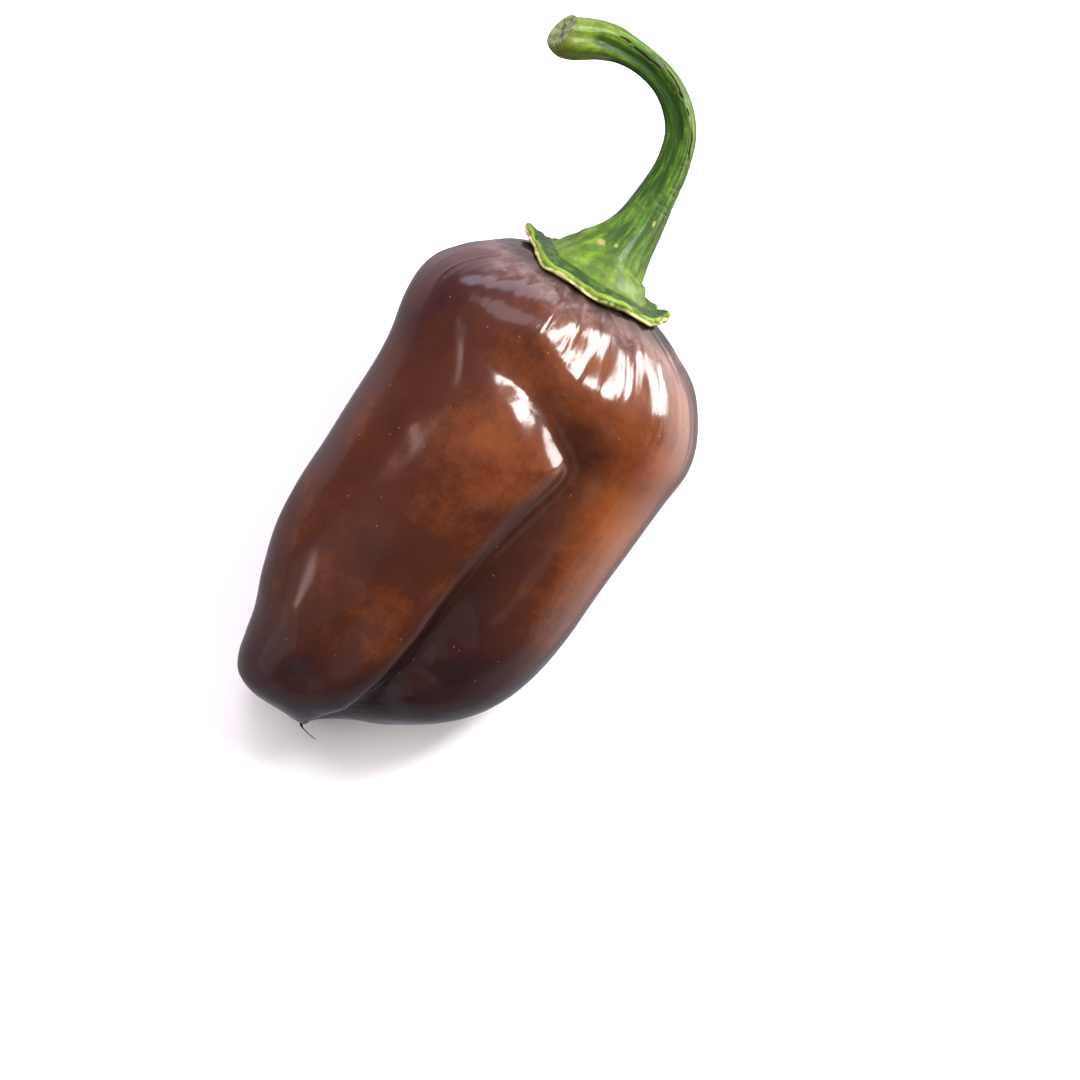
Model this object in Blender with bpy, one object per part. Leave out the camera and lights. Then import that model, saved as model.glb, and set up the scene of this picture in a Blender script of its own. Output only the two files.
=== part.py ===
# Sweet chocolate bell pepper, picked with its stalk, lying on its side on a flat surface.
#
# The pepper is first worked out upright in its own frame, in millimetres: y runs along its
# axis, from the blossom end up to the stalk, with 0 at the top of the fruit; x runs across it
# and z rises out of its upper side. It is then laid down, so that it rests on its lobes.

import math

import bpy
import numpy as np
from mathutils import Matrix

MM = 0.001

# Driving dimensions, in millimetres and degrees
FRUIT_LENGTH = 113.6
FRUIT_WIDTH = 70.0
CALYX_RADIUS = 16.4
CALYX_THICKNESS = 1.7
# 2 gives each tooth a round end, and 1 a sharp one
TOOTH_POINT = 1.4
THREAD_LENGTH = 4.6
THREAD_DIAMETER = 0.8
# The axis climbs towards the stalk, and leans over to the left, when the fruit lies down
PITCH = 13.0
ROLL = 3.3
# The lowest points are flattened by this much where the fruit rests
FLAT_DEPTH = 0.8
# Clearance between pieces that touch
GAP = 0.4

# Above 2, a cross-section is fuller than an ellipse
SECTION_POWER = 2.35
# A groove's bottom is rounded by this much, and its slopes fall off by this much and this
# power of the distance; they end at this many times their width
GROOVE_SOFTNESS = 1.5
GROOVE_FALL = 1.2
GROOVE_POWER = 1.5
GROOVE_END = 2.2
GROOVE_STEPS = 160
# No groove reaches further in than this share of the way to the section's middle
DEEPEST_SHARE = 0.8

FRUIT_COLUMNS = 76
FRUIT_ROWS = 46
STALK_COLUMNS = 38
STALK_ROWS = 44
THREAD_COLUMNS = 8
THREAD_ROWS = 8

# The calyx lies on the fruit's top, which ends at this share of the length
SHOULDER_SHARE = 0.122
SHOULDER_STEPS = 60

# Cross-sections of the fruit: how far down its length, as a share of FRUIT_LENGTH, then its
# reach to the left, right, upper side and underside, as shares of half of FRUIT_WIDTH
SECTIONS = np.array((
    (0.000, 0.03, -0.03, 0.00, 0.00),
    (0.013, 0.47, 0.44, 0.43, 0.48),
    (0.038, 0.64, 0.65, 0.57, 0.63),
    (0.074, 0.78, 0.84, 0.69, 0.77),
    (0.122, 0.89, 0.98, 0.79, 0.88),
    (0.202, 0.93, 1.08, 0.87, 0.93),
    (0.291, 0.89, 1.07, 0.90, 0.89),
    (0.388, 0.87, 1.06, 0.91, 0.80),
    (0.504, 0.86, 1.04, 0.90, 0.70),
    (0.610, 0.86, 1.02, 0.87, 0.61),
    (0.699, 0.83, 0.97, 0.82, 0.55),
    (0.778, 0.75, 0.87, 0.75, 0.50),
    (0.849, 0.66, 0.69, 0.66, 0.46),
    (0.902, 0.63, 0.46, 0.54, 0.39),
    (0.947, 0.60, 0.21, 0.41, 0.30),
    (0.978, 0.53, 0.07, 0.29, 0.20),
    (0.994, 0.40, 0.01, 0.16, 0.10),
    (1.000, 0.19, -0.19, 0.00, 0.00),
))

# The grooves between the three lobes, each as points along it: the share of the length, the
# angle round the fruit in degrees (0 is right, 90 is the upper side), the depth, and how wide
# its slopes are on the side of greater angles and on the side of smaller ones
UPPER_GROOVE = np.array((
    (0.204, 108, 1.0, 4.0, 5.0),
    (0.213, 97, 2.8, 4.6, 6.0),
    (0.227, 85, 4.3, 5.0, 7.0),
    (0.256, 73, 5.3, 5.2, 8.5),
    (0.281, 64, 5.6, 5.3, 10.0),
    (0.319, 61, 5.6, 5.6, 10.5),
    (0.396, 64, 5.4, 6.0, 11.0),
    (0.500, 67, 5.6, 6.5, 11.0),
    (0.610, 68, 6.6, 6.0, 11.0),
    (0.690, 67, 7.6, 5.0, 11.0),
    (0.770, 66, 7.8, 4.5, 11.0),
    (0.850, 61, 7.5, 4.0, 10.0),
    (0.910, 46, 6.0, 3.5, 8.0),
    (0.955, 28, 4.0, 3.0, 5.0),
    (0.985, 8, 1.2, 2.5, 3.0),
))
LEFT_GROOVE = np.array((
    (0.060, 199, 1.0, 6.0, 6.0),
    (0.170, 197, 3.0, 7.0, 7.0),
    (0.290, 196, 5.0, 7.0, 9.0),
    (0.400, 195, 5.8, 7.0, 9.0),
    (0.520, 195, 5.6, 7.0, 9.0),
    (0.660, 198, 5.0, 7.0, 8.0),
    (0.790, 207, 5.0, 6.0, 6.0),
    (0.890, 220, 4.0, 5.0, 5.0),
    (0.955, 248, 3.0, 4.0, 4.0),
    (0.987, 300, 1.2, 3.0, 3.0),
))
UNDER_GROOVE = np.array((
    (0.060, 290, 1.5, 7.0, 7.0),
    (0.170, 286, 4.5, 8.0, 8.0),
    (0.290, 282, 6.8, 8.0, 9.0),
    (0.430, 280, 7.6, 8.0, 9.0),
    (0.570, 281, 7.0, 8.0, 8.0),
    (0.700, 285, 6.0, 7.0, 7.0),
    (0.800, 291, 5.5, 6.0, 6.0),
    (0.890, 303, 4.5, 5.0, 5.0),
    (0.955, 330, 3.0, 4.0, 4.0),
    (0.987, 350, 1.2, 3.0, 3.0),
))

# Swellings and, with a negative height, hollows of the skin: the share of the length, the
# angle, the radius and the height
SWELLINGS = (
    (0.036, 134, 4.5, -1.8),
    (0.140, 118, 7.0, 1.4),
    (0.160, 60, 11.0, 1.3),
    (0.103, 66, 6.5, -1.4),
    (0.103, 77, 5.6, -1.4),
    (0.174, 102, 4.0, -1.1),
    (0.158, 117, 4.5, -0.9),
    (0.140, 150, 9.0, 1.0),
    (0.260, 128, 9.0, -1.0),
    (0.560, 150, 14.0, 0.8),
    (0.650, 90, 6.0, -1.0),
    (0.740, 98, 5.0, -1.6),
    (0.830, 100, 5.0, -1.8),
    (0.900, 102, 4.0, -1.2),
    (0.830, 140, 9.0, 0.6),
    (0.690, 50, 4.0, 0.8),
    (0.760, 52, 4.0, -0.8),
    (0.810, 50, 4.0, 0.8),
    (0.180, 246, 10.0, 1.0),
    (0.240, 298, 11.0, 2.3),
    (0.340, 214, 9.0, 1.6),
    (0.480, 213, 10.0, 4.0),
    (0.640, 218, 9.0, 2.0),
    (0.400, 250, 8.0, -0.8),
    (0.330, 330, 12.0, 0.9),
    (0.520, 318, 8.0, -1.0),
    (0.700, 335, 9.0, 0.8),
)

# Teeth of the calyx's edge: the angle, half the width in degrees, how far the tooth reaches
# out past CALYX_RADIUS, how far it curls up and how much thicker it is
TEETH = (
    (183, 18, 2.5, 2.6, -0.3),
    (119, 17, 2.8, -0.1, 0.2),
    (84, 24, 1.8, -0.2, 0.0),
    (40, 13, 1.8, 0.1, 0.2),
    (4, 13, 0.4, 1.4, 0.9),
    (322, 13, 1.2, 0.9, 0.2),
    (278, 15, 1.6, 0.5, 0.0),
    (232, 14, 1.9, 1.0, 0.0),
)

# The calyx's plate, from the middle of its underside, over its edge, to the stalk's foot, which
# is its last three rings: the distance out as a share of the edge's, the share of the
# thickness, the share of the curl, and how much further out the ring is on the upper side
PLATE_RINGS = (
    (0.30, 0.0, 0.00, 0.00),
    (0.55, 0.0, 0.00, 0.00),
    (0.78, 0.0, 0.15, 0.00),
    (0.92, 0.0, 0.60, 0.00),
    (0.99, 0.1, 1.00, 0.00),
    (1.00, 0.5, 1.00, 0.00),
    (0.98, 0.9, 1.00, 0.00),
    (0.93, 1.0, 0.80, 0.02),
    (0.80, 1.0, 0.25, 0.10),
    (0.70, 1.0, 0.05, 0.20),
    (0.65, 1.2, 0.00, 0.23),
    (0.60, 1.8, 0.00, 0.20),
    (0.56, 2.5, 0.00, 0.13),
)

# The line that the stalk follows: along, across and up, and its diameter
STALK = np.array((
    (5.6, -0.3, 0.2, 17.0),
    (8.9, 0.3, -0.1, 13.6),
    (13.0, 0.8, -0.6, 11.0),
    (20.6, 0.7, -1.5, 8.5),
    (28.6, 0.1, -1.8, 7.1),
    (36.0, -2.7, -1.3, 6.5),
    (41.3, -8.6, -0.2, 6.2),
    (43.6, -17.2, 1.8, 6.3),
    (42.6, -25.8, 4.4, 8.0),
    (39.8, -31.1, 6.2, 8.8),
))
# Ribs along the stalk: how many, their height as a share of its radius, and the length of
# stalk over which they turn by one radian
STALK_RIBS = 5
RIB_HEIGHT = 0.07
RIB_TURN = 30.0
# The cut face: where its middle is from the end of the stalk's line, which way it faces, both
# across, along and up, and its radius
CUT_OFFSET = np.array((-3.0, 0.1, 0.9))
CUT_DIRECTION = np.array((-0.87, 0.21, 0.44))
CUT_RADIUS = 4.2
# Rings between the stalk's last ring and the cut face, as shares of the way, and how far its
# sides run straight on before they turn in
CUT_BLEND = (0.35, 0.6, 0.85)
CUT_SHOULDER = 0.7
# The cut face, from its edge into its hollow middle: the share of the radius, and the depth
CUT_RINGS = ((0.93, 0.0), (0.74, 0.1), (0.66, 0.4), (0.30, 0.5))

# The dry thread: where it stands on the blossom end, as a share of the length and an angle,
# and the line it follows, across, along and up, as shares of THREAD_LENGTH
THREAD_PLACE = (0.995, 12.0)
THREAD_LINE = np.array((
    (0.00, -0.10, 0.00),
    (0.16, -0.24, 0.05),
    (0.38, -0.30, 0.06),
    (0.68, -0.35, 0.05),
    (0.98, -0.40, 0.03),
))
THREAD_TAPER = 0.2


def smooth_curve(places, values, at):
    """Cubic curve through values given at places; each slope comes from the two neighbours."""
    slopes = np.gradient(values, places, axis=0)
    at = np.clip(at, places[0], places[-1])
    first = np.clip(np.searchsorted(places, at) - 1, 0, len(places) - 2)
    step = places[first + 1] - places[first]
    part = (at - places[first]) / step
    if values.ndim > 1:
        step = step[..., None]
        part = part[..., None]
    return (
        (2 * part**3 - 3 * part**2 + 1) * values[first]
        + (part**3 - 2 * part**2 + part) * step * slopes[first]
        + (3 * part**2 - 2 * part**3) * values[first + 1]
        + (part**3 - part**2) * step * slopes[first + 1]
    )


def row_of(share):
    """Rows run from 0 to 1 and crowd towards both ends, where the fruit closes."""
    return np.arccos(1 - 2 * np.asarray(share)) / math.pi


def plain_skin(row, angle):
    """The skin before its grooves: superellipses with a reach of their own on each side.

    Gives the points, and the middle of the section that each is on.
    """
    row, angle = np.broadcast_arrays(row, angle)
    reach = smooth_curve(row_of(SECTIONS[:, 0]), SECTIONS[:, 1:], row) * FRUIT_WIDTH / 2
    left, right, upper, under = np.moveaxis(reach, -1, 0)
    share = (1 - np.cos(math.pi * row)) / 2
    middle = np.stack(((right - left) / 2, -FRUIT_LENGTH * share, (upper - under) / 2), -1)
    across = np.cos(angle)
    up = np.sin(angle)
    fullness = np.abs(across) ** SECTION_POWER + np.abs(up) ** SECTION_POWER
    out = fullness ** (-1 / SECTION_POWER)
    from_middle = np.stack(
        ((left + right) / 2 * out * across, np.zeros_like(out), (upper + under) / 2 * out * up), -1
    )
    return middle + from_middle, middle


def groove_depth(points, angle, groove):
    """How deep a groove is at each point, from the distance to the line along its bottom."""
    steps = np.linspace(0, len(groove) - 1, GROOVE_STEPS)
    line = smooth_curve(np.arange(len(groove)), groove, steps)
    share, turn, depth, far_width, near_width = line.T
    turn = np.radians(turn)
    bottom, _ = plain_skin(row_of(share), turn)
    apart = np.linalg.norm(points[..., None, :] - bottom, axis=-1)
    nearest = apart.argmin(axis=-1)
    apart = apart.min(axis=-1)
    width = np.where(np.sin(angle - turn[nearest]) > 0, far_width[nearest], near_width[nearest])
    rounded = np.sqrt(apart**2 + GROOVE_SOFTNESS**2) - GROOVE_SOFTNESS
    slope = 1 / (1 + GROOVE_FALL * (rounded / width) ** GROOVE_POWER)
    return depth[nearest] * slope * np.exp(-((apart / (GROOVE_END * width)) ** 2))


def fruit_skin(row, angle):
    """Points on the finished skin, with the lobes' grooves and the swellings."""
    row, angle = np.broadcast_arrays(row, angle)
    points, middle = plain_skin(row, angle)
    outward = points - middle
    radius = np.linalg.norm(outward, axis=-1) + 1e-9
    depth = sum(
        groove_depth(points, angle, groove) for groove in (UPPER_GROOVE, LEFT_GROOVE, UNDER_GROOVE)
    )
    for share, turn, size, height in SWELLINGS:
        centre, _ = plain_skin(row_of(share), math.radians(turn))
        apart = np.linalg.norm(points - centre, axis=-1)
        depth -= height * np.exp(-(apart**2) / (2 * size**2))
    depth = np.minimum(depth, DEEPEST_SHARE * radius)
    return points - outward * (depth / radius)[..., None]


def angles(count):
    """Even steps round a ring."""
    return np.arange(count) * 2 * math.pi / count


def fruit_rings():
    """Rings from the blossom end up to the calyx, between the two points where the skin closes."""
    rows = np.linspace(1, 0, FRUIT_ROWS + 1)[1:-1]
    rings = fruit_skin(rows[:, None], angles(FRUIT_COLUMNS))
    _, top = plain_skin(np.array(0.0), np.array(0.0))
    _, bottom = plain_skin(np.array(1.0), np.array(0.0))
    return bottom, rings, top


def skin_at(distance, angle):
    """Points of the fruit's stalk end at a distance from the axis, one for each angle."""
    rows = np.linspace(0, row_of(SHOULDER_SHARE), SHOULDER_STEPS)
    skin = fruit_skin(rows[:, None], angle)
    reach = np.hypot(skin[..., 0], skin[..., 2])
    found = np.array([np.interp(d, r, rows) for d, r in zip(distance, reach.T)])
    return fruit_skin(found, angle)


def calyx_edge(angle):
    """Distance out, upward curl and extra thickness of the calyx's toothed edge."""
    reach = np.full_like(angle, CALYX_RADIUS)
    curl = np.zeros_like(angle)
    extra = np.zeros_like(angle)
    for turn, width, longer, lift, thicker in TEETH:
        off = np.degrees(np.arccos(np.cos(angle - math.radians(turn))))
        tooth = np.exp(-((off / width) ** TOOTH_POINT))
        reach += longer * tooth
        curl += lift * tooth
        extra += thicker * tooth
    return reach, curl, extra


def calyx_rings():
    """The calyx's plate follows the skin below it, and curls away from it at the teeth."""
    angle = angles(STALK_COLUMNS)
    reach, curl, extra = calyx_edge(angle)
    rings = []
    for out, thick, curled, lean in PLATE_RINGS:
        ring = skin_at(reach * out * (1 + lean * np.sin(angle)), angle)
        ring[:, 1] += GAP + (CALYX_THICKNESS + extra * curled) * thick + curl * curled
        rings.append(ring)
    return rings


def stalk_rings():
    """Ribbed rings across the stalk's line, then the slanting cut and its hollow."""
    chords = np.linalg.norm(np.diff(STALK[:, :3], axis=0), axis=1)
    places = np.concatenate(((0,), np.cumsum(chords)))
    at = np.linspace(0, places[-1], STALK_ROWS)
    along, across, up, diameter = smooth_curve(places, STALK, at).T
    line = np.stack((across, along, up), -1)
    ahead = np.gradient(line, at, axis=0)
    ahead /= np.linalg.norm(ahead, axis=1)[:, None]
    side = np.cross(ahead, (0, 0, 1))
    side /= np.linalg.norm(side, axis=1)[:, None]
    over = np.cross(side, ahead)
    angle = angles(STALK_COLUMNS)
    ribs = 1 + RIB_HEIGHT * np.cos(STALK_RIBS * angle + at[:, None] / RIB_TURN)
    turned = np.cos(angle)[:, None] * side[:, None] + np.sin(angle)[:, None] * over[:, None]
    rings = list(line[:, None] + turned * (ribs * diameter[:, None] / 2)[..., None])

    # The slanting cut: a circle in its plane, reached over a rounded shoulder
    facing = CUT_DIRECTION / np.linalg.norm(CUT_DIRECTION)
    middle = line[-1] + CUT_OFFSET
    spokes = turned[-1] - (turned[-1] @ facing)[:, None] * facing
    spokes *= CUT_RADIUS / np.linalg.norm(spokes, axis=1)[:, None]
    last = rings[-1]
    edge = middle + spokes
    straight = np.maximum((edge - last) @ ahead[-1], 0)[:, None] * ahead[-1] * CUT_SHOULDER
    for part in CUT_BLEND:
        turning = 2 * part * (1 - part)
        rings.append(last + turning * straight + (edge - last) * part**2)
    rings += [middle + spokes * share - facing * depth for share, depth in CUT_RINGS]
    return rings, middle - facing * CUT_RINGS[-1][1]


def stalk_and_calyx_rings():
    """One closed green piece, from the middle of the plate's underside to the cut face."""
    stalk, end = stalk_rings()
    _, start = plain_skin(np.array(0.0), np.array(0.0))
    return start + (0, GAP, 0), np.array(calyx_rings() + stalk), end


def thread_rings():
    """A short dry thread that sticks out from the blossom end."""
    share, turn = THREAD_PLACE
    root = fruit_skin(row_of(share), np.array(math.radians(turn)))
    part = np.linspace(0, 1, THREAD_ROWS)
    places = np.linspace(0, 1, len(THREAD_LINE))
    line = root + THREAD_LENGTH * smooth_curve(places, THREAD_LINE, part)
    radius = THREAD_DIAMETER / 2 * (1 - THREAD_TAPER * part)
    angle = angles(THREAD_COLUMNS)
    ring = np.stack((np.cos(angle), np.zeros_like(angle), -np.sin(angle)), -1)
    return line[0], line[:, None] + ring * radius[:, None, None], line[-1]


def add_closed(name, start, rings, end, material):
    """One closed solid: rings of points, fanned shut at a point on either end."""
    count = rings.shape[1]
    points = np.concatenate((start[None], rings.reshape(-1, 3), end[None])) * MM
    after = np.roll(np.arange(count), -1)
    first = 1 + count * np.arange(len(rings) - 1)[:, None] + np.arange(count)
    second = 1 + count * np.arange(len(rings) - 1)[:, None] + after
    sides = np.stack((first, first + count, second + count, second), -1).reshape(-1, 4)
    last = 1 + count * (len(rings) - 1)
    fans = [(0, 1 + here, 1 + after[here]) for here in range(count)]
    fans += [(last + after[here], last + here, len(points) - 1) for here in range(count)]
    mesh = bpy.data.meshes.new(name)
    mesh.from_pydata(points.tolist(), [], sides.tolist() + fans)
    mesh.shade_smooth()
    mesh.materials.append(material)
    thing = bpy.data.objects.new(name, mesh)
    bpy.context.scene.collection.objects.link(thing)
    return thing


def add_material(name, colour, roughness):
    material = bpy.data.materials.new(name)
    material.use_nodes = True
    shader = material.node_tree.nodes["Principled BSDF"]
    shader.inputs["Base Color"].default_value = (*colour, 1)
    shader.inputs["Roughness"].default_value = roughness
    shader.inputs["Metallic"].default_value = 0
    return material


def laid_down(pieces):
    """Turns the pieces onto the surface at height 0, with the origin below their middle."""
    pitch = math.radians(PITCH)
    roll = math.radians(ROLL)
    turn = np.array(Matrix.Rotation(pitch, 3, "X") @ Matrix.Rotation(roll, 3, "Y"))
    laid = {name: [points @ turn.T for points in shape] for name, shape in pieces.items()}
    _, fruit, _ = laid["fruit"]
    corners = np.concatenate([rings.reshape(-1, 3) for _, rings, _ in laid.values()])
    origin = (corners.min(axis=0) + corners.max(axis=0)) / 2
    origin[2] = fruit[..., 2].min() + FLAT_DEPTH
    for name, shape in laid.items():
        start, rings, end = (points - origin for points in shape)
        rings[..., 2] = np.maximum(rings[..., 2], 0)
        laid[name] = start, rings, end
    return laid


for old in list(bpy.data.objects):
    bpy.data.objects.remove(old, do_unlink=True)

materials = {
    "fruit": add_material("chocolate_skin", (0.085, 0.018, 0.009), 0.18),
    "stalk_and_calyx": add_material("green_stalk", (0.16, 0.33, 0.035), 0.5),
    "style_thread": add_material("dry_thread", (0.02, 0.014, 0.01), 0.8),
}
pieces = {
    "fruit": fruit_rings(),
    "stalk_and_calyx": stalk_and_calyx_rings(),
    "style_thread": thread_rings(),
}
for name, (start, rings, end) in laid_down(pieces).items():
    add_closed(name, start, rings, end, materials[name])
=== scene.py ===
import math

import bpy
import numpy as np
from mathutils import Matrix, Vector


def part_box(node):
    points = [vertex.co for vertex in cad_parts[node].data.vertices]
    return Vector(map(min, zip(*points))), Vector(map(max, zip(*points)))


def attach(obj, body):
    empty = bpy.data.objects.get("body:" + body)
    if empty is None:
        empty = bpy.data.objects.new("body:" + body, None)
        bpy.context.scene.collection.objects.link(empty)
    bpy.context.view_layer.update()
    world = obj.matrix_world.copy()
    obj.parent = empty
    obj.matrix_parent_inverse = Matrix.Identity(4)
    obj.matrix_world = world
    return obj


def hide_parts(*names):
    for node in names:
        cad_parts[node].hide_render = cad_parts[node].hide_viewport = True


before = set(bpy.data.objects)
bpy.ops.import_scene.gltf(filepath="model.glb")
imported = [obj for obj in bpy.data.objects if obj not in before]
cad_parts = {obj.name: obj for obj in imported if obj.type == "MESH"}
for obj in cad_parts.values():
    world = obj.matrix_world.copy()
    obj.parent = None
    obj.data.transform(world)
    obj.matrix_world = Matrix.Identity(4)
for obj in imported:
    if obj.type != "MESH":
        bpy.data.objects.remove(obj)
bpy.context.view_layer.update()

mm = 0.001
print("frame loaded:", ", ".join(sorted(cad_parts)))

# How the pepper lies: its axis climbs towards the stalk and leans over, both in degrees, and
# the underside is flat where it would reach below the table, which is by flatDepth mm at most
lying = {"pitch": 13.0, "roll": 3.3, "flatDepth": 0.8}


# Cubic curve through values given at places; each slope comes from the two neighbours
def smoothCurve(places, values, at):
    slopes = np.gradient(values, places, axis=0)
    at = np.clip(at, places[0], places[-1])
    first = np.clip(np.searchsorted(places, at) - 1, 0, len(places) - 2)
    step = places[first + 1] - places[first]
    part = (at - places[first]) / step
    extra = values.ndim - 1
    step = step.reshape(step.shape + (1,) * extra)
    part = part.reshape(part.shape + (1,) * extra)
    return (
        (2 * part**3 - 3 * part**2 + 1) * values[first]
        + (part**3 - 2 * part**2 + part) * step * slopes[first]
        + (3 * part**2 - 2 * part**3) * values[first + 1]
        + (part**3 - part**2) * step * slopes[first + 1]
    )


# Soft noise from -1 to 1: random values on a lattice, blended by 3t² - 2t³ between its points
def softNoise(points, cell, seed):
    side = 32
    lattice = np.random.default_rng(seed).uniform(-1, 1, (side, side, side))
    place = np.asarray(points) / cell
    corner = np.floor(place).astype(int)
    part = place - corner
    part = part * part * (3 - 2 * part)
    total = 0
    for dx in (0, 1):
        for dy in (0, 1):
            for dz in (0, 1):
                near = (corner + (dx, dy, dz)) % side
                weight = np.prod(np.where((dx, dy, dz), part, 1 - part), axis=-1)
                total = total + weight * lattice[near[..., 0], near[..., 1], near[..., 2]]
    return total


# 0 below low, 1 above high, and smooth between them
def ramp(value, low, high):
    part = np.clip((value - low) / (high - low), 0, 1)
    return part * part * (3 - 2 * part)


# Moves a grid of points along its own normals; columns close round, rows run along
def pushedOut(grid, height):
    along = np.gradient(grid, axis=0)
    around = np.roll(grid, -1, axis=1) - np.roll(grid, 1, axis=1)
    normal = np.cross(along, around)
    normal /= np.linalg.norm(normal, axis=-1, keepdims=True) + 1e-9
    return grid + normal * height[..., None]


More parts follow.
